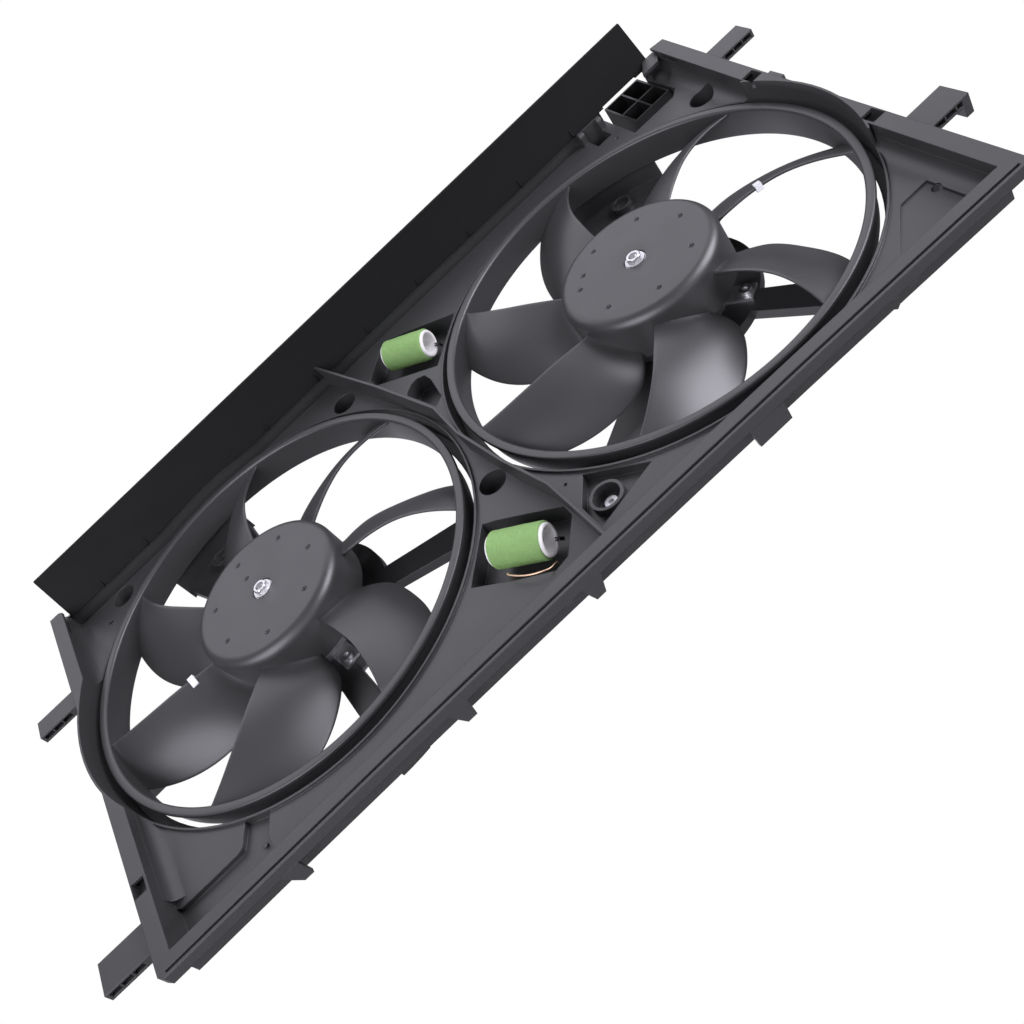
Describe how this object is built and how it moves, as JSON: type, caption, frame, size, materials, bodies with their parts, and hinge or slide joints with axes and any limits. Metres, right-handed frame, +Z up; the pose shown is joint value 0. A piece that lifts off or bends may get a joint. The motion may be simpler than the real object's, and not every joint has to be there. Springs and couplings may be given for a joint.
{
  "type": "radiator cooling fan",
  "caption": "Vehicle radiator cooling fan: dark moulded shroud with a top air deflector and side tongues, two swept-blade fan wheels on electric motors, green dropping resistors between them.",
  "frame": {"origin": "midway between the two fan axes, on the plane of the shroud's front rim, which lies against the radiator", "axes": "+X along the shroud's length, to the right seen from the front; +Y from the rim back to the motors; +Z up, toward the air deflector"},
  "size_m": [0.77, 0.116, 0.4173],
  "materials": {
    "moulded_plastic": "satin dark grey glass-filled moulding",
    "black_plastic": "matt black",
    "fan_plastic": "satin dark grey moulding, smoother than the shroud",
    "white_plastic": "plain white",
    "zinc_steel": "zinc plated sheet",
    "bright_steel": "turned and plated",
    "cap_steel": "dark painted sheet",
    "bearing_bronze": "sintered bronze",
    "ferrite": "matt dark ferrite",
    "lamination_steel": "stacked sheet, varnished",
    "copper": "bare or enamelled copper",
    "brown_board": "brown board",
    "carbon": "pressed carbon",
    "white_ceramic": "fired white ceramic",
    "green_cement": "rough green cement coating"
  },
  "bodies": {
    "frame": {"shroud": "moulded_plastic", "air_deflector": "moulded_plastic", "connector_housing": "black_plastic", "fixing_bolt": "bright_steel", "motor_can_left": "zinc_steel", "motor_can_right": "zinc_steel", "motor_end_cap_left": "cap_steel", "motor_end_cap_right": "cap_steel", "motor_magnets_left": "ferrite", "motor_magnets_right": "ferrite", "brush_plate_left": "brown_board", "brush_plate_right": "brown_board", "carbon_brushes_left": "carbon", "carbon_brushes_right": "carbon", "front_bearing_left": "bearing_bronze", "front_bearing_right": "bearing_bronze", "rear_bearing_left": "bearing_bronze", "rear_bearing_right": "bearing_bronze", "motor_screws_left": "bright_steel", "motor_screws_right": "bright_steel", "resistor_core_upper": "white_ceramic", "resistor_core_lower": "white_ceramic", "resistor_coating_upper": "green_cement", "resistor_coating_lower": "green_cement", "resistor_clip_upper": "zinc_steel", "resistor_clip_lower": "zinc_steel", "resistor_terminal_upper": "black_plastic", "resistor_terminal_lower": "black_plastic", "thermal_link": "copper"},
    "fan_left": {"fan_wheel_left": "fan_plastic", "hub_insert_left": "zinc_steel", "motor_shaft_left": "bright_steel", "shaft_washer_left": "zinc_steel", "shaft_nut_left": "zinc_steel", "balance_clip_left": "white_plastic", "armature_core_left": "lamination_steel", "armature_winding_left": "copper", "commutator_left": "copper"},
    "fan_right": {"fan_wheel_right": "fan_plastic", "hub_insert_right": "zinc_steel", "motor_shaft_right": "bright_steel", "shaft_washer_right": "zinc_steel", "shaft_nut_right": "zinc_steel", "balance_clip_right": "white_plastic", "armature_core_right": "lamination_steel", "armature_winding_right": "copper", "commutator_right": "copper"}
  },
  "joints": [
    {"name": "fan_left_spin", "type": "hinge", "parent": "frame", "child": "fan_left", "pos_m": [-0.175, 0.026, 0.0103], "axis": [0, 1, 0], "continuous": true},
    {"name": "fan_right_spin", "type": "hinge", "parent": "frame", "child": "fan_right", "pos_m": [0.175, 0.026, -0.0103], "axis": [0, 1, 0], "continuous": true}
  ]
}
